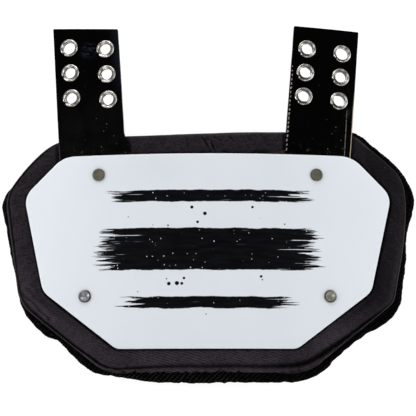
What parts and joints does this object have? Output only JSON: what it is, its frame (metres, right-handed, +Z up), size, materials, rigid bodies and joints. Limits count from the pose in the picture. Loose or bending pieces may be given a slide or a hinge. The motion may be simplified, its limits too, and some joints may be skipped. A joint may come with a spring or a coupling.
{
  "type": "football back plate",
  "caption": "Curved hard plate riveted over a layered foam pad, with eyeleted straps that hang it below a football player's shoulder pads to guard the lower back.",
  "frame": {"origin": "bottom centre of the part's box as it lies on its pad with the plate up", "axes": "+X across the back, the longest side; +Y from the waist edge towards the strap tips; +Z up, out of the plate's face"},
  "size_m": [0.3652, 0.3142, 0.0485],
  "materials": {
    "plate": "smooth satin-gloss moulded plastic, cool white, with dark printed bands",
    "front_fabric": "matt charcoal woven nylon over foam",
    "back_mesh": "matt black knitted spacer mesh over foam",
    "strap": "glossy black coated webbing with a stitched edge",
    "eyelet": "polished nickel plate",
    "rivet": "turned nickel-plated steel"
  },
  "bodies": {
    "root": {"plate": "plate", "front_pad": "front_fabric", "back_pad": "back_mesh", "strap_left": "strap", "strap_right": "strap", "eyelet_left_1": "eyelet", "eyelet_left_2": "eyelet", "eyelet_left_3": "eyelet", "eyelet_left_4": "eyelet", "eyelet_left_5": "eyelet", "eyelet_left_6": "eyelet", "eyelet_right_1": "eyelet", "eyelet_right_2": "eyelet", "eyelet_right_3": "eyelet", "eyelet_right_4": "eyelet", "eyelet_right_5": "eyelet", "eyelet_right_6": "eyelet", "rivet_upper_left": "rivet", "rivet_upper_right": "rivet", "rivet_lower_left": "rivet", "rivet_lower_right": "rivet"}
  },
  "joints": []
}
